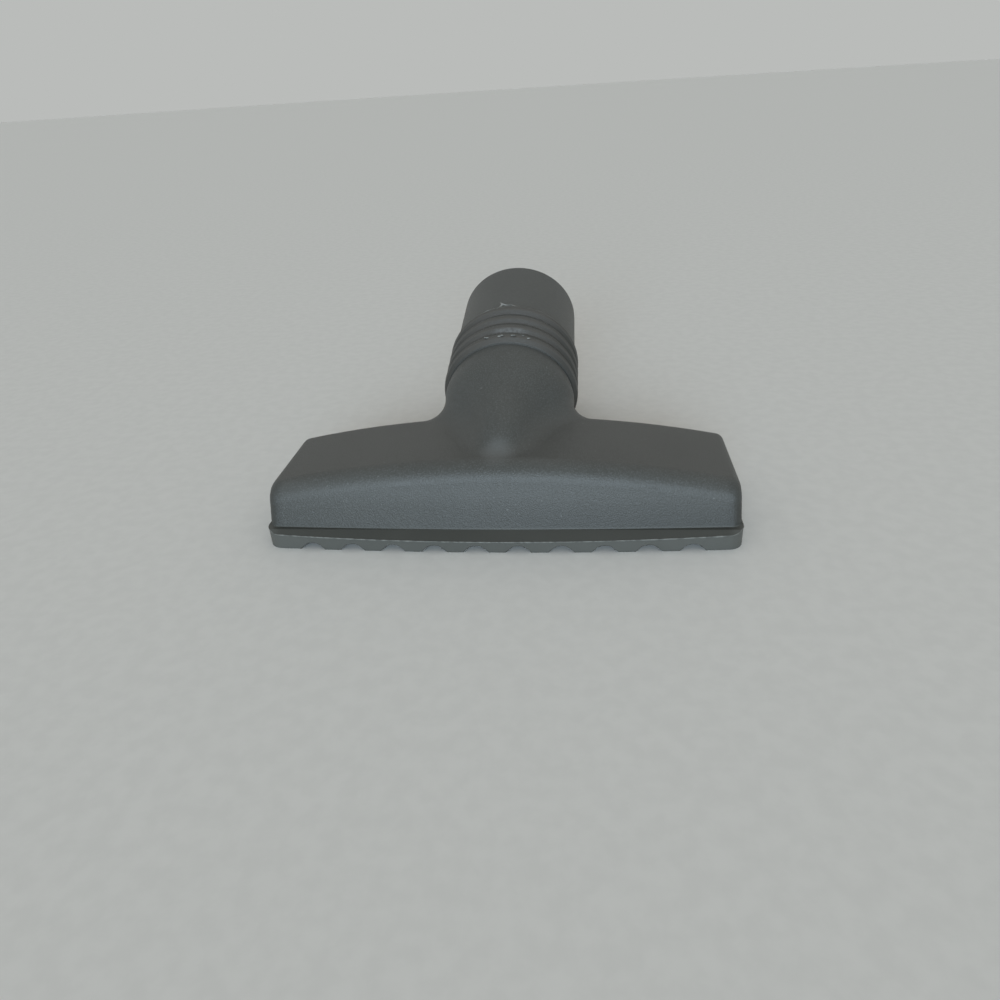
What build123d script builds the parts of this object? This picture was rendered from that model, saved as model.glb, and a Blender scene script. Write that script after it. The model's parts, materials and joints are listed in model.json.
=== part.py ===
from build123d import *
import math
import os

# Vacuum upholstery nozzle, moulded in one piece. A crowned hood stands on a flange with a scalloped lip.
# A neck dives into the hood's top as a rounded nose, and behind it a ringed socket pushes onto the end of
# a wand. The mouth plane is z = 0, the front lip faces -Y and the socket opens towards +Y and rises.
# The origin is under the middle of the bounding box. Sizes are in millimetres and degrees.

# Lip and flange round the mouth
lip_width = 124.4
lip_depth = 48.0
lip_bow = 2.0
lip_corner_radius = 4.0
lip_height = 3.1
lip_wall = 2.0
flange_height = 5.0
flange_slope = 30.0
flange_wall = 1.8

# Scallops along the front and back lips, round at the top, with straight flanks
scallop_count = 10
scallop_pitch = 11.0
scallop_radius = 3.2
scallop_depth = 2.0
scallop_flank = 45.0

# Hood
hood_end_step = 0.2
hood_height = 21.8
hood_wall = 2.0
hood_crown_radius = 300.0
hood_front_draft = 12.0
hood_end_draft = 3.0
hood_bend_radius = 5.5
hood_end_radius = 2.6

# Socket for the wand, with a collar at its root. Each ring there rises at its front and tapers off behind.
socket_tilt = 13.5
socket_reach = 54.2
socket_height = 21.2
socket_bore_radius = 17.5
socket_bore_depth = 46.0
socket_end_radius = 19.2
socket_root_radius = 19.5
socket_length = 48.4
socket_rim_chamfer = 0.4
ring_count = 3
ring_pitch = 5.45
ring_rise = 1.6
ring_foot_radius = 19.4
ring_peak_radius = 20.9
ring_bevel = 0.8

# Neck, from a round section at the collar through a throat and a bridge to a nose, whose toe ends in the
# hood's top. Each section has its top point, half sizes and forward lean.
neck_radius = 18.9
neck_wall = 2.2
neck_fillet = 8.0
throat_from_front = 40.0
throat_top = 36.0
throat_half_width = 17.6
throat_half_height = 16.5
throat_lean = 18.0
bridge_from_front = 27.0
bridge_top = 30.2
bridge_half_width = 9.4
bridge_half_height = 11.0
bridge_lean = 26.0
nose_from_front = 17.5
nose_top = 25.2
nose_half_width = 7.2
nose_half_height = 8.0
nose_lean = 38.0
toe_from_front = 11.4
toe_top = 17.0
toe_half_width = 6.0
toe_half_height = 6.0
toe_lean = 60.0

# Room that cutting shapes, and the arch that the hood is cut from, run past their faces
past = 2.0
past_angle = 1.0

tilt = math.radians(socket_tilt)
rim_drop = (socket_end_radius - socket_rim_chamfer) * math.sin(tilt)
overall_length = socket_reach + socket_length * math.cos(tilt) + rim_drop
front_y = -overall_length / 2
lip_middle_y = front_y + lip_depth / 2
flange_run = (flange_height - lip_height) / math.tan(math.radians(flange_slope))
hood_depth = lip_depth - 2 * flange_run
hood_width = lip_width - 2 * hood_end_step
socket_frame = Plane(
    origin=(0, front_y + socket_reach, socket_height),
    x_dir=(1, 0, 0),
    z_dir=(0, math.cos(tilt), math.sin(tilt)),
)


def side_face(points):
    """Face in the middle plane from (y, z) points, y measured from the front of the lip."""
    return Plane.YZ * make_face(Polyline(*[(front_y + y, z) for y, z in points], close=True))


def across(face, width):
    """Extrude a side face to both sides of the middle plane."""
    return extrude(face, amount=width / 2, both=True)


def lip_outline(inset):
    """Outline of the mouth, bowed out along its front and back."""
    half_x = lip_width / 2 - inset
    half_y = lip_depth / 2 - inset
    corner_y = half_y - lip_bow
    edges = [
        ThreePointArc((-half_x, -corner_y), (0, -half_y), (half_x, -corner_y)),
        Line((half_x, -corner_y), (half_x, corner_y)),
        ThreePointArc((half_x, corner_y), (0, half_y), (-half_x, corner_y)),
        Line((-half_x, corner_y), (-half_x, -corner_y)),
    ]
    face = make_face(edges)
    face = fillet(face.vertices(), lip_corner_radius - inset)
    return Pos(0, lip_middle_y, 0) * face


def eaves(inset, lip_top, flange_top, bottom):
    """Side face of the flange: lip walls, and eaves that slope up from them."""
    low = inset
    high = lip_depth - inset
    run = (flange_top - lip_top) / math.tan(math.radians(flange_slope))
    return side_face(
        [
            (low, bottom),
            (low, lip_top),
            (low + run, flange_top),
            (high - run, flange_top),
            (high, lip_top),
            (high, bottom),
        ]
    )


def flange_solid():
    """Lip and flange as one block. The straight eaves run out at the bowed lip's corners."""
    block = extrude(lip_outline(0), amount=flange_height)
    return block & across(eaves(0, lip_height, flange_height, 0), lip_width)


def flange_hollow():
    """Hollow under the flange, one wall in from the lip."""
    lip_top = lip_height - flange_wall + lip_wall * math.tan(math.radians(flange_slope))
    block = Pos(0, 0, -past) * extrude(lip_outline(lip_wall), amount=flange_height + past)
    return block & across(eaves(lip_wall, lip_top, flange_height - flange_wall, -past), lip_width)


def hood_solid(inset, bottom):
    """Crowned hood with sharp ends, or its hollow when inset by the wall, down to the given height."""
    base = bottom - lip_width**2 / (4 * hood_crown_radius)
    top = hood_height - inset
    lean = math.tan(math.radians(hood_front_draft))
    base_half = hood_depth / 2 - inset / math.cos(math.radians(hood_front_draft))

    def half_depth(z):
        return base_half - (z - flange_height) * lean

    middle = lip_depth / 2
    profile = side_face(
        [
            (middle - half_depth(base), base),
            (middle - half_depth(top), top),
            (middle + half_depth(top), top),
            (middle + half_depth(base), base),
        ]
    )
    profile = fillet(profile.vertices().sort_by(Axis.Z)[-2:], hood_bend_radius - inset)
    crown_axis = Axis((0, 0, hood_height - hood_crown_radius), (0, 1, 0))
    base_radius = hood_crown_radius - hood_height + base
    half_arc = math.degrees(math.asin(lip_width / 2 / base_radius)) + past_angle
    arch = revolve(profile.rotate(crown_axis, -half_arc), crown_axis, 2 * half_arc)

    end_lean = math.tan(math.radians(hood_end_draft))
    end_half = hood_width / 2 - inset / math.cos(math.radians(hood_end_draft))
    low_x = end_half + (flange_height - bottom) * end_lean
    high_x = end_half - (hood_height - flange_height) * end_lean
    corners = [(-low_x, bottom), (low_x, bottom), (high_x, hood_height), (-high_x, hood_height)]
    front_view = make_face(Polyline(*corners, close=True))
    wedge = Pos(0, lip_middle_y, 0) * extrude(Plane.XZ * front_view, amount=lip_depth, both=True)
    return arch & wedge


def rounded_ends(hood):
    """Round the hood's end faces over into its top, front and back."""
    faces = hood.faces().sort_by(Axis.X)
    rims = faces[0].edges() + faces[-1].edges()
    foot = rims.group_by(Axis.Z)[0]
    return fillet([edge for edge in rims if edge not in foot], hood_end_radius)


def neck_station(from_front, top, half_width, half_height, lean_angle, inset):
    """Elliptical section of the neck, set by its top point and by how far it leans forward and down."""
    lean = math.radians(lean_angle)
    centre_y = front_y + from_front + half_height * math.sin(lean)
    centre_z = top - half_height * math.cos(lean)
    plane = Plane(
        origin=(0, centre_y, centre_z), x_dir=(1, 0, 0), z_dir=(0, -math.cos(lean), -math.sin(lean))
    )
    return plane * Ellipse(half_width - inset, half_height - inset)


def neck_solid(inset):
    """Neck from the collar to its nose inside the hood, or its hollow."""
    root_plane = Plane(socket_frame.origin, x_dir=(1, 0, 0), z_dir=-socket_frame.z_dir)
    root = root_plane * Circle(neck_radius - inset)
    throat = neck_station(
        throat_from_front, throat_top, throat_half_width, throat_half_height, throat_lean, inset
    )
    bridge = neck_station(
        bridge_from_front, bridge_top, bridge_half_width, bridge_half_height, bridge_lean, inset
    )
    nose = neck_station(nose_from_front, nose_top, nose_half_width, nose_half_height, nose_lean, inset)
    toe = neck_station(toe_from_front, toe_top, toe_half_width, toe_half_height, toe_lean, inset)
    return loft([root, throat, bridge, nose, toe])


def socket_solid():
    """Plain socket and the collar of rings at its root, revolved about the socket's axis."""
    points = [(0, 0)]
    for ring in range(ring_count):
        foot = ring * ring_pitch
        points.append((ring_foot_radius, foot))
        points.append((ring_peak_radius, foot + ring_rise))
    collar_end = ring_count * ring_pitch
    points.append((ring_foot_radius, collar_end))
    points.append((socket_root_radius, collar_end + socket_root_radius - ring_foot_radius))
    points.append((socket_end_radius, socket_length))
    points.append((0, socket_length))
    profile = Plane.XZ * make_face(Polyline(*points, close=True))
    peaks = profile.vertices().sort_by(Axis.X)[-ring_count:]
    socket = revolve(chamfer(peaks, ring_bevel), Axis.Z, 360)
    return socket_frame * chamfer(socket.edges().sort_by(Axis.Z)[-1], socket_rim_chamfer)


def socket_bore():
    """Bore that takes the wand, up to its stop, and the narrower way on into the neck."""
    wand_bore = Pos(0, 0, socket_length - socket_bore_depth) * extrude(
        Circle(socket_bore_radius), amount=socket_bore_depth + past
    )
    airway = extrude(Circle(neck_radius - neck_wall), amount=socket_length)
    return socket_frame * (wand_bore + airway)


def scallop_face():
    """Front view of one scallop, whose flanks run on below the lip."""
    flank = math.radians(scallop_flank)
    shoulder_x = scallop_radius * math.sin(flank)
    shoulder_z = scallop_depth - scallop_radius * (1 - math.cos(flank))
    foot_x = shoulder_x + (shoulder_z + past) / math.tan(flank)
    left = (-shoulder_x, shoulder_z)
    right = (shoulder_x, shoulder_z)
    top = ThreePointArc(left, (0, scallop_depth), right)
    return make_face(top + Polyline(right, (foot_x, -past), (-foot_x, -past), left))


def scallops():
    """Notches across the front and back lips."""
    face = scallop_face()
    first_x = -(scallop_count - 1) / 2 * scallop_pitch
    comb = Sketch() + [Pos(first_x + index * scallop_pitch, 0) * face for index in range(scallop_count)]
    return Pos(0, lip_middle_y, 0) * extrude(Plane.XZ * comb, amount=lip_depth, both=True)


def nozzle():
    """Outer forms joined and blended, less the hollow inside and the scallops."""
    hood = rounded_ends(hood_solid(0, flange_height - flange_wall))
    neck = neck_solid(0)
    outer = hood + neck
    outer = fillet(new_edges(hood, neck, combined=outer), neck_fillet)
    outer = outer + flange_solid() + socket_solid()
    inner = hood_solid(hood_wall, -past) + flange_hollow()
    inner = inner + neck_solid(neck_wall) + socket_bore()
    return outer - inner - scallops()


os.makedirs("parts", exist_ok=True)
body = nozzle()
body.label = "nozzle_body"
export_step(body, "parts/nozzle_body.step")
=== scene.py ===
import json
import math

import bmesh
import bpy
from mathutils import Matrix, Vector


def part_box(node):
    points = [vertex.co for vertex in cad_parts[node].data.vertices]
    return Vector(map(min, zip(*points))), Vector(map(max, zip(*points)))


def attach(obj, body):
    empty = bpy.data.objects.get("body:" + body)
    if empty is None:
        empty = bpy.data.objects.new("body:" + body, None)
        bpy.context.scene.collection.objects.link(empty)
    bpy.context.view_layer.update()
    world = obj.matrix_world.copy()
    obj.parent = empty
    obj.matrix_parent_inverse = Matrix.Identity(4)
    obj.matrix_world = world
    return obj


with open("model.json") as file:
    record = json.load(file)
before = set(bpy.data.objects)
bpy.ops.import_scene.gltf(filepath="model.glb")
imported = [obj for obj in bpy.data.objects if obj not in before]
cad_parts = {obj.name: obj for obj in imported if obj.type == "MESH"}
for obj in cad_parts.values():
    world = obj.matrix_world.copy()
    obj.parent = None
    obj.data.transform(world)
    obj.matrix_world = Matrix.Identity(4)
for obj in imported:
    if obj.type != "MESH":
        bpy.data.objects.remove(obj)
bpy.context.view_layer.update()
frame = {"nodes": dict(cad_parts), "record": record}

# Vacuum upholstery nozzle, moulded in one piece from dark grey plastic. The imported solid keeps its shape
# and gets its grain, its smoother lip, its wear, and painted highlights and painted shade here. The collar's
# last ring, the thin flash along the parting line, the scuff on the socket and the nicks on the collar are
# pieces of their own. All lengths are in metres.

nozzle = frame["nodes"]["nozzle_body"]
low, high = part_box("nozzle_body")
socket_mount = next(mount for mount in frame["record"]["mounts"] if mount["name"] == "wand_socket")

MM = 0.001

# Lip and flange
FRONT_Y = low[1]
HALF_WIDTH = high[0]
LIP_DEPTH = 48.0 * MM
LIP_BOW = 2.0 * MM
LIP_CORNER = 4.0 * MM
LIP_HEIGHT = 3.1 * MM
FLANGE_HEIGHT = 5.0 * MM
FLANGE_SLOPE = math.radians(30.0)

# Socket and collar. Distances along the socket are measured from the front of its collar.
SOCKET_AXIS = Vector(socket_mount["axis"])
SOCKET_TILT = math.asin(SOCKET_AXIS.z)
BORE_MIDDLE = 25.4 * MM
COLLAR_FRONT = Vector(socket_mount["pos_m"]) - SOCKET_AXIS * BORE_MIDDLE
TUBE_RADIUS = 19.45 * MM
RING_COUNT = 4
RING_PITCH = 5.45 * MM
RING_CREST = 20.56 * MM
RING_CREST_PLACE = 2.1 * MM
COLLAR_LENGTH = RING_COUNT * RING_PITCH
REAR_RING_PLACE = COLLAR_LENGTH - RING_PITCH

# Section of a ring: radius of its foot, radius and distance behind the foot of its chamfered peak's front
# and back, and radius of the root that the last ring is sunk to
RING_FOOT = 19.4 * MM
PEAK_FRONT = (20.353 * MM, 1.016 * MM)
PEAK_BACK = (20.61 * MM, 2.345 * MM)
RING_ROOT = 19.0 * MM
RING_STEPS = 160
RING_SHARP_ANGLE = math.radians(15.0)

# Steps of the curved paths, and how near two points are merged
BOW_STEPS = 80
CORNER_STEPS = 10
CREST_STEPS = 40
MERGE_DISTANCE = 0.001 * MM

# Painted light on the front: how far back it fades, the heights of the painted highlight and of the painted
# shade at the foot, the painted shade at the ends, and the middle and reach of the painted highlight on the
# nose
FRONT_FADE = (FRONT_Y + 7.5 * MM, FRONT_Y + 11.0 * MM)
SHEEN_BAND = (13.0 * MM, 17.5 * MM)
SHEEN_BAND_SOFT = 3.5 * MM
SHADED_FOOT = (7.0 * MM, 14.5 * MM)
SHADED_ENDS = (HALF_WIDTH - 5.0 * MM, HALF_WIDTH - 3.0 * MM)
NOSE_TIP = (0.0, FRONT_Y + 13.3 * MM, 22.6 * MM)
NOSE_HIGHLIGHT = (1.5 * MM, 6.0 * MM)

# Ends of the ledge's painted shade, and sizes of the grain
LEDGE_SHADE_RUN_OUT = (HALF_WIDTH - 4.5 * MM, HALF_WIDTH - 1.0 * MM)
GRAIN_SIZE = 0.36 * MM
GRAIN_HEIGHT = 0.2 * MM
PIT_SIZE = 1.0 * MM
PATCH_SIZE = 22.0 * MM
EDGE_SOFTNESS = 0.4 * MM

# Torn pieces: how deep the scuff sits in the plastic, and a nick's depth and height as shares of its length
SCUFF_SINK = 0.06 * MM
NICK_DEPTH = 0.6
NICK_HEIGHT = 0.27
CORNER_FLASH = 0.5

TABLE_RADIUS = 15.0
TABLE_SIDES = 96

# Camera of the photograph: where it stands, which way it looks, its roll and its lens
EYE = Vector((21.9, -214.2, 105.7)) * MM
LOOK = Vector((-0.1094, 0.8677, -0.4848))
CAMERA_RIGHT = Vector((0.9940, 0.0941, -0.0560))
SENSOR_MM = 36.0
FOCAL_PIXELS = 751.0
FRAME_PIXELS = 1000.0
NEAREST_SEEN = 10.0 * MM


def screen(red, green, blue):
    """Linear colour of a screen colour from 0 to 255."""
    shares = [value / 255 for value in (red, green, blue)]
    linear = [s / 12.92 if s <= 0.04045 else ((s + 0.055) / 1.055) ** 2.4 for s in shares]
    return (*linear, 1.0)


# Tones of the finishes. A pair holds the two tones that patches vary between.
GRAIN_TONES = (screen(65, 66, 63), screen(69, 70, 67))
LIP_TONES = (screen(81, 82, 78), screen(86, 87, 83))
# The ledge's tones are painted shade, darker for the recess under the hood's wall.
LEDGE_SHADE_TONES = (screen(57, 58, 54), screen(62, 63, 59))
FLASH_TONES = (screen(84, 85, 81), screen(118, 119, 115))
TORN_TONES = (screen(98, 99, 96), screen(150, 151, 148))
PAPER_TONES = (screen(218, 218, 215), screen(222, 222, 219))
# Pale tone for painted highlights and glints.
SHEEN_TONE = screen(104, 106, 105)
SCRATCHED_TONE = screen(165, 167, 167)
# Dark tone for painted shade.
SHADE_TONE = screen(50, 51, 48)
DULL_RING_TONE = screen(76, 73, 69)
FLECK_TONE = screen(150, 152, 150)
SKY_TONE = (1.0, 0.98, 0.93, 1.0)
BACKGROUND_TONE = screen(186, 188, 186)


class Tree:
    """Node tree, with short ways to add nodes and join them."""

    def __init__(self, tree):
        self.tree = tree

    def add(self, kind, inputs=None, **settings):
        node = self.tree.nodes.new(kind)
        for key, value in settings.items():
            setattr(node, key, value)
        for key, value in (inputs or {}).items():
            self.put(node.inputs[key], value)
        return node

    def put(self, socket, value):
        if isinstance(value, bpy.types.NodeSocket):
            self.tree.links.new(value, socket)
        else:
            socket.default_value = value

    def math(self, operation, *values):
        return self.add("ShaderNodeMath", dict(enumerate(values)), operation=operation).outputs[0]

    def ramp(self, value, start, end, first=0.0, last=1.0):
        inputs = {"Value": value, "From Min": start, "From Max": end, "To Min": first, "To Max": last}
        return self.add("ShaderNodeMapRange", inputs, interpolation_type="SMOOTHSTEP").outputs["Result"]

    def noise(self, place, size, detail=3.0, roughness=0.5):
        inputs = {"Vector": place, "Scale": 1 / size, "Detail": detail, "Roughness": roughness}
        return self.add("ShaderNodeTexNoise", inputs).outputs["Fac"]

    def split(self, vector):
        return self.add("ShaderNodeSeparateXYZ", {0: vector}).outputs


class Finish(Tree):
    """Material with one principled surface, read on object coordinates."""

    def __init__(self, name):
        self.material = bpy.data.materials.new(name)
        self.material.use_nodes = True
        super().__init__(self.material.node_tree)
        self.tree.nodes.clear()
        self.surface = self.add("ShaderNodeBsdfPrincipled")
        output = self.add("ShaderNodeOutputMaterial")
        self.tree.links.new(self.surface.outputs[0], output.inputs["Surface"])
        self.place = self.add("ShaderNodeTexCoord").outputs["Object"]

    def blend(self, amount, first, second):
        """Mix of two colours, which a mix node takes at inputs 6 and 7 and gives at output 2."""
        node = self.add("ShaderNodeMix", data_type="RGBA")
        self.put(node.inputs[0], amount)
        self.put(node.inputs[6], first)
        self.put(node.inputs[7], second)
        return node.outputs[2]

    def lay_over(self, tone, top_tone, *shares):
        """Tone with another tone laid over it, as far as all the shares together allow. It lays dust,
        scratches and dull patches, and painted highlights and shade.
        """
        amount = shares[0]
        for share in shares[1:]:
            amount = self.math("MULTIPLY", amount, share)
        return self.blend(amount, tone, top_tone)

    def window(self, value, start, end, soft):
        """One between two values, with soft edges, and nothing outside them."""
        rise = self.ramp(value, start - soft, start + soft)
        fall = self.ramp(value, end - soft, end + soft, 1.0, 0.0)
        return self.math("MULTIPLY", rise, fall)

    def set(self, **values):
        for name, value in values.items():
            self.put(self.surface.inputs[name.replace("_", " ").title()], value)


def along_socket(finish):
    """Distance along the socket from its collar's front, and angle round it from the top."""
    inputs = {"Vector": finish.place, "Location": COLLAR_FRONT, "Rotation": (SOCKET_TILT, 0, 0)}
    turned = finish.add("ShaderNodeMapping", inputs, vector_type="TEXTURE").outputs[0]
    across, along, up = finish.split(turned)
    return along, finish.math("ARCTAN2", across, up)


def painted_front_light(finish, tone):
    """Tone with painted highlights on the front below its bend and on the nose, and painted shade at its
    foot and ends.
    """
    across, forward, up = finish.split(finish.place)
    front = finish.ramp(forward, *FRONT_FADE, 1.0, 0.0)
    # Painted highlight: a pale band on the front below the bend, strongest on the left.
    band = finish.window(up, *SHEEN_BAND, SHEEN_BAND_SOFT)
    sheen_share = finish.ramp(across, -40.0 * MM, 45.0 * MM, 0.26, 0.04)
    tone = finish.lay_over(tone, SHEEN_TONE, front, band, sheen_share)
    # Painted shade: the front darker towards its foot, most on the right.
    foot = finish.ramp(up, *SHADED_FOOT, 1.0, 0.0)
    shade_share = finish.ramp(across, -35.0 * MM, 30.0 * MM, 0.08, 0.5)
    tone = finish.lay_over(tone, SHADE_TONE, front, foot, shade_share)
    # Painted shade: the front darker towards its rounded ends.
    ends = finish.ramp(finish.math("ABSOLUTE", across), *SHADED_ENDS, 0.0, 0.5)
    tone = finish.lay_over(tone, SHADE_TONE, front, ends)
    # Painted highlight: a pale spot on the neck's nose.
    inputs = {0: finish.place, 1: NOSE_TIP}
    from_nose = finish.add("ShaderNodeVectorMath", inputs, operation="DISTANCE").outputs["Value"]
    return finish.lay_over(tone, SHEEN_TONE, finish.ramp(from_nose, *NOSE_HIGHLIGHT, 0.5, 0.0))


def collar_wear_and_shading(finish, tone):
    """Tone with dull ring fronts, painted shade on the flanks, painted highlights on the crests, and a
    scratched patch on the second ring.
    """
    along, angle = along_socket(finish)
    collar = finish.window(along, 0.0, COLLAR_LENGTH, 0.2 * MM)
    behind_foot = finish.math("MODULO", along, RING_PITCH)
    ring_front = finish.ramp(behind_foot, 1.6 * MM, 2.6 * MM, 0.8, 0.0)
    tone = finish.lay_over(tone, DULL_RING_TONE, collar, ring_front)
    # Painted shade: the collar darker on its flanks, away from the top.
    flank = finish.ramp(finish.math("ABSOLUTE", angle), 0.4, 1.1, 0.0, 0.5)
    tone = finish.lay_over(tone, SHADE_TONE, collar, flank)
    # Painted highlight: pale thin lines on the ring crests.
    crest = finish.window(behind_foot, 1.0 * MM, 1.4 * MM, 0.25 * MM)
    tone = finish.lay_over(tone, SHEEN_TONE, collar, crest, 0.2)
    second_ring = finish.window(along, 5.1 * MM, 6.6 * MM, 0.5 * MM)
    near_top = finish.window(angle, -0.16, 0.26, 0.1)
    streaks = finish.ramp(finish.noise(finish.place, 0.9 * MM), 0.35, 0.65, 0.05, 0.2)
    return finish.lay_over(tone, SCRATCHED_TONE, second_ring, near_top, streaks)


def grained_tone(finish, patches, grain):
    """Tone of the grained plastic, with the grain's pale speckle that is partly painted glint, dust flecks
    in places, scratches, and painted highlights and shade.
    """
    tone = finish.blend(patches, *GRAIN_TONES)
    # Pale speckle of the grain, partly painted glints.
    tone = finish.lay_over(tone, SHEEN_TONE, finish.ramp(grain, 0.44, 0.7, 0.0, 0.46))
    dusty = finish.ramp(finish.noise(finish.place, 14.0 * MM, detail=2.0), 0.5, 0.62)
    flecks = finish.ramp(finish.noise(finish.place, 0.8 * MM, detail=1.0), 0.72, 0.78, 0.0, 0.35)
    tone = finish.lay_over(tone, FLECK_TONE, dusty, flecks)
    return collar_wear_and_shading(finish, painted_front_light(finish, tone))


def smooth_tone(finish, patches):
    """Tone of the smooth lip, with painted shade on the ledge above it, which runs out at the ends."""
    across = finish.split(finish.place)["X"]
    facing_up = finish.split(finish.add("ShaderNodeNewGeometry").outputs["True Normal"])["Z"]
    # Painted shade: the up-facing ledge darker under the hood's wall, less so towards the ends.
    run_out = finish.ramp(finish.math("ABSOLUTE", across), *LEDGE_SHADE_RUN_OUT, 1.0, 0.3)
    lip = finish.blend(patches, *LIP_TONES)
    ledge = finish.blend(patches, *LEDGE_SHADE_TONES)
    return finish.lay_over(lip, ledge, finish.ramp(facing_up, 0.4, 0.75), run_out)


def moulded_plastic():
    """Dark grey plastic with a fine spark-eroded grain above the flange, and smooth on its lip and ledge."""
    finish = Finish("moulded_grey_plastic")
    up = finish.split(finish.place)["Z"]
    grained = finish.ramp(up, FLANGE_HEIGHT - 0.2 * MM, FLANGE_HEIGHT + 0.6 * MM)
    patches = finish.ramp(finish.noise(finish.place, PATCH_SIZE, detail=4.0), 0.3, 0.7)
    grain = finish.noise(finish.place, GRAIN_SIZE, detail=2.0, roughness=0.7)
    pits = finish.noise(finish.place, PIT_SIZE, detail=2.0)
    smooth = smooth_tone(finish, patches)
    finish.set(base_color=finish.blend(grained, smooth, grained_tone(finish, patches, grain)))
    finish.set(roughness=finish.ramp(grain, 0.3, 0.7, 0.4, 0.52))

    soft_edges = finish.add("ShaderNodeBevel", {"Radius": EDGE_SOFTNESS}, samples=4).outputs["Normal"]
    strength = finish.math("MULTIPLY_ADD", grained, 0.5, 0.06)
    height = finish.math("MULTIPLY_ADD", pits, 0.4, grain)
    inputs = {"Strength": strength, "Distance": GRAIN_HEIGHT, "Height": height, "Normal": soft_edges}
    finish.set(normal=finish.add("ShaderNodeBump", inputs).outputs["Normal"])
    return finish.material


def worn_plastic(name, tones):
    """The same plastic where it is thin or torn, and so paler in patches."""
    finish = Finish(name)
    patches = finish.ramp(finish.noise(finish.place, 1.6 * MM, detail=2.0), 0.35, 0.65)
    finish.set(base_color=finish.blend(patches, *tones))
    finish.set(roughness=finish.ramp(finish.noise(finish.place, 0.4 * MM), 0.3, 0.7, 0.45, 0.65))
    return finish.material


def closed_and_smooth(mesh):
    """Merge a mesh's doubled points, turn its faces outwards and shade them smooth."""
    skin = bmesh.new()
    skin.from_mesh(mesh)
    bmesh.ops.remove_doubles(skin, verts=skin.verts, dist=MERGE_DISTANCE)
    bmesh.ops.recalc_face_normals(skin, faces=skin.faces)
    skin.to_mesh(mesh)
    skin.free()
    mesh.shade_smooth()


class Shape(Tree):
    """Geometry node tree with named sizes, which is turned into a plain mesh when it is made."""

    def __init__(self, name):
        super().__init__(bpy.data.node_groups.new(name, "GeometryNodeTree"))
        self.sizes = {}
        self.inputs = self.add("NodeGroupInput")
        self.output = self.add("NodeGroupOutput")
        self.tree.interface.new_socket("Geometry", in_out="INPUT", socket_type="NodeSocketGeometry")
        self.tree.interface.new_socket("Geometry", in_out="OUTPUT", socket_type="NodeSocketGeometry")

    def size(self, name, kind="NodeSocketFloat"):
        socket = self.tree.interface.new_socket(name, in_out="INPUT", socket_type=kind)
        self.sizes[name] = socket.identifier
        return self.inputs.outputs[name]

    def end(self, geometry, material):
        """Close the tree with realized instances and the material."""
        solid = self.add("GeometryNodeRealizeInstances", {"Geometry": geometry}).outputs[0]
        inputs = {"Geometry": solid, "Material": material}
        solid = self.add("GeometryNodeSetMaterial", inputs).outputs[0]
        self.put(self.output.inputs["Geometry"], solid)

    def make(self, name, path, sizes):
        """Plain mesh piece from the tree, grown on a path."""
        carrier = bpy.data.objects.new(name + "_path", path)
        bpy.context.scene.collection.objects.link(carrier)
        modifier = carrier.modifiers.new("shape", "NODES")
        modifier.node_group = self.tree
        for size_name, value in sizes.items():
            modifier[self.sizes[size_name]] = value
        evaluated = carrier.evaluated_get(bpy.context.evaluated_depsgraph_get())
        mesh = bpy.data.meshes.new_from_object(evaluated)
        carrier.modifiers.remove(modifier)
        bpy.data.objects.remove(carrier)
        closed_and_smooth(mesh)
        mesh.name = name
        piece = bpy.data.objects.new(name, mesh)
        bpy.context.scene.collection.objects.link(piece)
        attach(piece, "root")
        return piece


def uneven_bead(material):
    """Tree that runs a thin bead of uneven thickness along a path."""
    shape = Shape("uneven_bead")
    radius = shape.size("Bead Radius")
    wander = shape.size("Unevenness")
    lump = shape.size("Lump Length")
    place = shape.add("GeometryNodeInputPosition").outputs[0]
    inputs = {"Vector": place, "Scale": shape.math("DIVIDE", 1.0, lump), "Detail": 2.0}
    noise = shape.add("ShaderNodeTexNoise", inputs).outputs["Fac"]
    swing = shape.math("MULTIPLY", shape.math("SUBTRACT", noise, 0.5), wander)
    scale = shape.math("MAXIMUM", shape.math("ADD", 1.0, swing), 0.05)
    taper = shape.add("GeometryNodeInputRadius").outputs[0]
    inputs = {"Resolution": 8, "Radius": radius}
    section = shape.add("GeometryNodeCurvePrimitiveCircle", inputs).outputs[0]
    inputs = {
        "Curve": shape.inputs.outputs["Geometry"],
        "Profile Curve": section,
        "Scale": shape.math("MULTIPLY", scale, taper),
        "Fill Caps": True,
    }
    shape.end(shape.add("GeometryNodeCurveToMesh", inputs).outputs["Mesh"], material)
    return shape


def swept_ring(material):
    """Tree that sweeps a section, given as a closed path of radius and distance, round the socket."""
    shape = Shape("swept_ring")
    steps = shape.size("Steps", "NodeSocketInt")
    radius = shape.size("Path Radius")
    inputs = {"Resolution": steps, "Radius": radius}
    round_path = shape.add("GeometryNodeCurvePrimitiveCircle", inputs).outputs[0]
    inputs = {"Curve": round_path, "Profile Curve": shape.inputs.outputs["Geometry"]}
    ring = shape.add("GeometryNodeCurveToMesh", inputs).outputs["Mesh"]
    upright_to_socket = (SOCKET_TILT - math.pi / 2, 0, 0)
    inputs = {"Geometry": ring, "Translation": COLLAR_FRONT, "Rotation": upright_to_socket}
    shape.end(shape.add("GeometryNodeTransform", inputs).outputs[0], material)
    return shape


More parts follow.
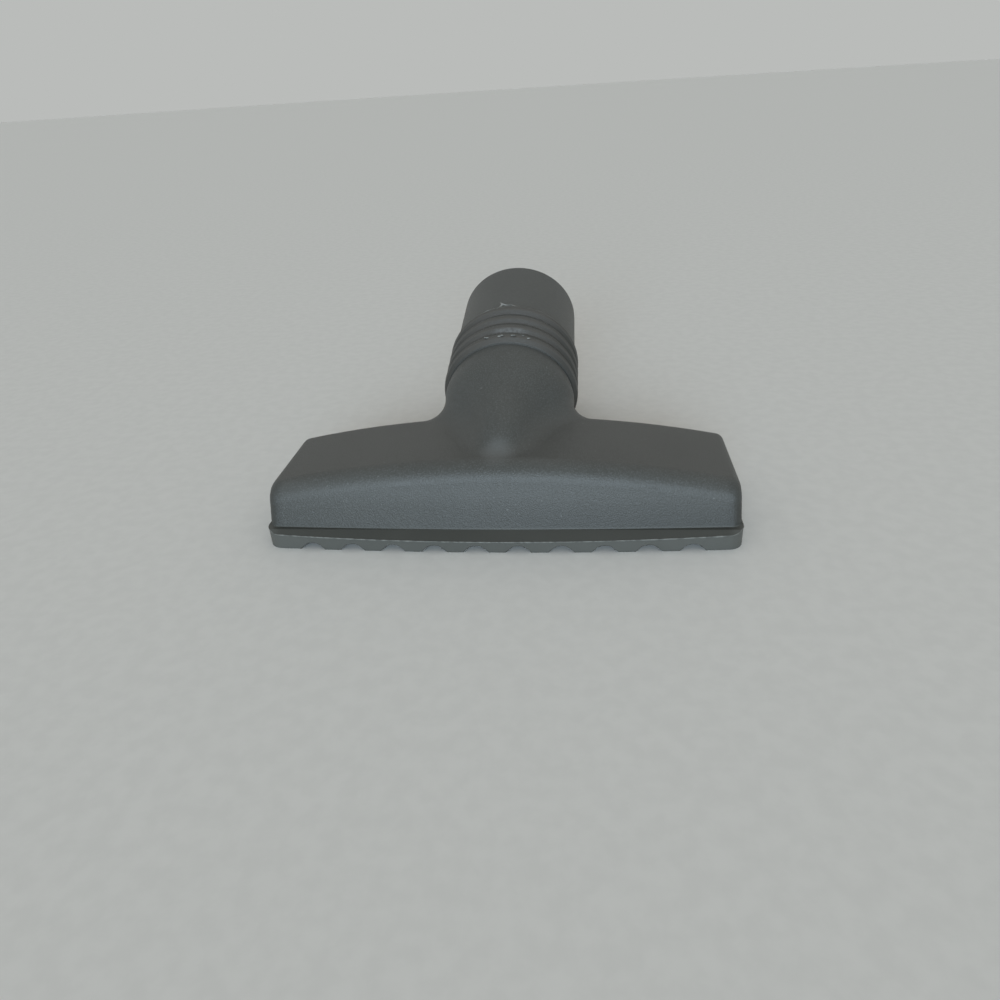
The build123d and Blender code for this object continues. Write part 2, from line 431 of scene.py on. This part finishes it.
def nick_row(material):
    """Tree that scatters small nicks along a path."""
    shape = Shape("nick_row")
    count = shape.size("Nick Count", "NodeSocketInt")
    smallest = shape.size("Smallest")
    largest = shape.size("Largest")
    stray = shape.size("Stray", "NodeSocketVector")
    seed = shape.size("Seed", "NodeSocketInt")
    inputs = {"Curve": shape.inputs.outputs["Geometry"], "Count": count}
    spread = shape.add("GeometryNodeCurveToPoints", inputs, mode="COUNT")
    back = shape.add("ShaderNodeVectorMath", {0: stray, 1: (-1, -1, -1)}, operation="MULTIPLY").outputs[0]
    inputs = {0: back, 1: stray, "Seed": seed}
    offset = shape.add("FunctionNodeRandomValue", inputs, data_type="FLOAT_VECTOR").outputs[0]
    inputs = {"Geometry": spread.outputs["Points"], "Offset": offset}
    points = shape.add("GeometryNodeSetPosition", inputs).outputs[0]
    inputs = {2: smallest, 3: largest, "Seed": shape.math("ADD", seed, 1)}
    size = shape.add("FunctionNodeRandomValue", inputs, data_type="FLOAT").outputs[1]
    nick = shape.add("GeometryNodeMeshIcoSphere", {"Radius": 1.0, "Subdivisions": 2}).outputs["Mesh"]
    depth = shape.math("MULTIPLY", size, NICK_DEPTH)
    height = shape.math("MULTIPLY", size, NICK_HEIGHT)
    flat = shape.add("ShaderNodeCombineXYZ", {"X": size, "Y": depth, "Z": height})
    inputs = {"Points": points, "Instance": nick, "Scale": flat.outputs[0]}
    shape.end(shape.add("GeometryNodeInstanceOnPoints", inputs).outputs[0], material)
    return shape


def path_curve(name, runs, closed=False, tapers=None):
    """Curve of straight runs through the given points, with each point's share of the thickness."""
    curve = bpy.data.curves.new(name, "CURVE")
    curve.dimensions = "3D"
    for index, points in enumerate(runs):
        spline = curve.splines.new("POLY")
        spline.points.add(len(points) - 1)
        for point, place in zip(spline.points, points):
            point.co = (*place, 1.0)
        if tapers:
            for point, taper in zip(spline.points, tapers[index]):
                point.radius = taper
        spline.use_cyclic_u = closed
    return curve


def lip_loop():
    """Lip's outline from above, as distances across and back from its front: bowed, with round corners."""
    bow_radius = (HALF_WIDTH**2 + LIP_BOW**2) / (2 * LIP_BOW)
    corner_x = HALF_WIDTH - LIP_CORNER
    corner_y = bow_radius - math.sqrt((bow_radius - LIP_CORNER) ** 2 - corner_x**2)
    last_turn = math.asin(corner_x / (bow_radius - LIP_CORNER))
    front = []
    for step in range(-BOW_STEPS, BOW_STEPS + 1):
        turn = last_turn * step / BOW_STEPS
        front.append((bow_radius * math.sin(turn), bow_radius * (1 - math.cos(turn))))
    corner = []
    for step in range(1, CORNER_STEPS + 1):
        turn = last_turn + (math.pi / 2 - last_turn) * step / CORNER_STEPS
        corner.append((corner_x + LIP_CORNER * math.sin(turn), corner_y - LIP_CORNER * math.cos(turn)))
    half = [(-x, y) for x, y in reversed(corner)] + front + corner
    return half + [(-x, LIP_DEPTH - y) for x, y in half]


def parting_line():
    """Closed path along the lip's upper edge, which rises with the eaves where the lip turns back."""
    edge = []
    tapers = []
    for x, y in lip_loop():
        inward = min(y, LIP_DEPTH - y)
        height = min(LIP_HEIGHT + inward * math.tan(FLANGE_SLOPE), FLANGE_HEIGHT)
        edge.append((x, FRONT_Y + y, height))
        tapers.append(1.0 if abs(x) < HALF_WIDTH - LIP_CORNER else CORNER_FLASH)
    return path_curve("parting_line", [edge], closed=True, tapers=[tapers])


def on_socket(across, along, radius):
    """Point on the socket's round, from a distance across from its top and a distance along it."""
    angle = across / radius
    local = Vector((radius * math.sin(angle), along, radius * math.cos(angle)))
    return COLLAR_FRONT + Matrix.Rotation(SOCKET_TILT, 3, "X") @ local


def scuff_path():
    """Branching path on top of the socket, where the collar's last ring runs out."""
    peak_radius, peak_place = PEAK_BACK
    ring_slope = (peak_radius - RING_FOOT) / (RING_PITCH - peak_place)
    # Each branch has points of millimetres across, millimetres along, and share of the thickness.
    branches = [
        [(-3.6, 24.5, 0.3), (-3.2, 23.6, 0.8), (-2.8, 22.9, 1.0), (-1.9, 22.4, 0.7), (-0.9, 21.9, 0.5)],
        [(-0.9, 21.9, 0.5), (-0.2, 22.2, 0.9), (0.8, 21.3, 0.5), (1.9, 19.7, 0.2)],
        [(-2.8, 22.9, 1.0), (-3.3, 21.9, 1.0), (-3.6, 20.6, 0.8), (-4.0, 19.3, 0.4)],
        [(-5.3, 21.1, 0.3), (-6.2, 21.3, 0.6), (-7.0, 21.8, 0.4), (-7.9, 21.8, 0.5), (-9.6, 21.9, 0.2)],
    ]
    runs = []
    for branch in branches:
        run = []
        for across, along, _ in branch:
            radius = max(TUBE_RADIUS, RING_FOOT + ring_slope * (COLLAR_LENGTH - along * MM))
            run.append(on_socket(across * MM, along * MM, radius - SCUFF_SINK))
        runs.append(run)
    tapers = [[taper for _, _, taper in branch] for branch in branches]
    return path_curve("scuff_path", runs, tapers=tapers)


def crest_path(first_angle, last_angle):
    """Path on the first ring's crest between two angles from the top."""
    turn = (last_angle - first_angle) / CREST_STEPS
    angles = [first_angle + turn * step for step in range(CREST_STEPS + 1)]
    points = [on_socket(angle * RING_CREST, RING_CREST_PLACE, RING_CREST) for angle in angles]
    return path_curve("crest_path", [points])


def rear_ring(material):
    """Last ring of the collar, with its root sunk into the socket."""
    section = [
        (RING_ROOT, 0.0),
        (RING_FOOT, 0.0),
        PEAK_FRONT,
        PEAK_BACK,
        (RING_FOOT, RING_PITCH),
        (RING_ROOT, RING_PITCH),
    ]
    points = [(radius - RING_ROOT, -REAR_RING_PLACE - behind, 0.0) for radius, behind in section]
    path = path_curve("ring_section", [points], closed=True)
    sizes = {"Steps": RING_STEPS, "Path Radius": RING_ROOT}
    ring = swept_ring(material).make("collar_rear_ring", path, sizes)
    ring.data.set_sharp_from_angle(angle=RING_SHARP_ANGLE)


def wear_pieces():
    """Flash along the parting line, the scuff on the socket and the nicks on the collar."""
    flash_plastic = worn_plastic("flash_plastic", FLASH_TONES)
    torn_plastic = worn_plastic("torn_plastic", TORN_TONES)
    sizes = {"Bead Radius": 0.2 * MM, "Unevenness": 1.2, "Lump Length": 7.0 * MM}
    uneven_bead(flash_plastic).make("lip_flash", parting_line(), sizes)
    sizes = {"Bead Radius": 0.34 * MM, "Unevenness": 1.6, "Lump Length": 1.0 * MM}
    uneven_bead(torn_plastic).make("socket_scuff", scuff_path(), sizes)
    sizes = {
        "Nick Count": 6,
        "Smallest": 0.4 * MM,
        "Largest": 0.95 * MM,
        "Stray": (0.9 * MM, 0.4 * MM, 0.05 * MM),
        "Seed": 5,
    }
    nick_row(torn_plastic).make("collar_nicks", crest_path(-0.26, 0.33), sizes)


def pale_paper():
    """Plain pale paper with a faint grain and no gloss."""
    finish = Finish("pale_paper")
    grain = finish.ramp(finish.noise(finish.place, 4.0 * MM), 0.3, 0.7)
    finish.set(base_color=finish.blend(grain, *PAPER_TONES))
    finish.set(roughness=finish.ramp(grain, 0.0, 1.0, 0.7, 0.8))
    finish.surface.inputs["Specular IOR Level"].default_value = 0.0
    return finish.material


def table():
    """Wide plain table top that the mouth rests on, out to the horizon."""
    top = bmesh.new()
    bmesh.ops.create_circle(top, cap_ends=True, radius=TABLE_RADIUS, segments=TABLE_SIDES)
    mesh = bpy.data.meshes.new("table")
    top.to_mesh(mesh)
    top.free()
    mesh.materials.append(pale_paper())
    piece = bpy.data.objects.new("table", mesh)
    bpy.context.scene.collection.objects.link(piece)


def soft_light(name, source, spread, strength, colour):
    """Broad, even light from the direction of its source, spread over an angle in degrees."""
    lamp = bpy.data.lights.new(name, "SUN")
    lamp.angle = math.radians(spread)
    lamp.energy = strength
    lamp.color = colour
    holder = bpy.data.objects.new(name, lamp)
    holder.location = source
    holder.rotation_euler = (-Vector(source)).to_track_quat("-Z", "Y").to_euler()
    bpy.context.scene.collection.objects.link(holder)


def soft_sky():
    """Sky that is dimmer at its sides, and that rays from the camera, gloss and glass see as plain."""
    world = bpy.data.worlds.new("soft_sky")
    world.use_nodes = True
    sky = Tree(world.node_tree)
    rays = sky.add("ShaderNodeLightPath").outputs
    plain = sky.math("MAXIMUM", rays["Is Camera Ray"], rays["Is Transmission Ray"])
    plain = sky.math("MAXIMUM", plain, rays["Is Glossy Ray"])
    direction = sky.split(sky.add("ShaderNodeTexCoord").outputs["Generated"])
    strength = sky.ramp(sky.math("ABSOLUTE", direction["X"]), 0.25, 0.95, 0.5, 0.3)
    lit = sky.add("ShaderNodeBackground", {"Color": SKY_TONE, "Strength": strength})
    seen = sky.add("ShaderNodeBackground", {"Color": BACKGROUND_TONE, "Strength": 1.0})
    choice = sky.add("ShaderNodeMixShader", {0: plain, 1: lit.outputs[0], 2: seen.outputs[0]})
    sky.put(world.node_tree.nodes["World Output"].inputs["Surface"], choice.outputs[0])
    bpy.context.scene.world = world


def lights():
    """Low cool window in front, a faint warm lamp above and behind, and a soft sky."""
    soft_light("window", (0.0, -0.85, 0.2), spread=32.0, strength=2.55, colour=(0.7, 0.86, 1.0))
    soft_light("top_lamp", (0.1, 0.3, 0.9), spread=60.0, strength=0.15, colour=(1.0, 0.96, 0.88))
    soft_sky()


def camera():
    """Camera at the photograph's place, angle and lens."""
    lens = bpy.data.cameras.new("photo_camera")
    lens.sensor_width = SENSOR_MM
    lens.lens = FOCAL_PIXELS * SENSOR_MM / FRAME_PIXELS
    lens.clip_start = NEAREST_SEEN
    back = -LOOK.normalized()
    right = (CAMERA_RIGHT - CAMERA_RIGHT.dot(back) * back).normalized()
    turn = Matrix((right, back.cross(right), back)).transposed()
    holder = bpy.data.objects.new("photo_camera", lens)
    holder.matrix_world = Matrix.Translation(EYE) @ turn.to_4x4()
    bpy.context.scene.collection.objects.link(holder)
    bpy.context.scene.camera = holder


body_plastic = moulded_plastic()
nozzle.data.materials.clear()
nozzle.data.materials.append(body_plastic)
rear_ring(body_plastic)
wear_pieces()
table()
lights()
camera()
bpy.context.scene.view_settings.view_transform = "Standard"
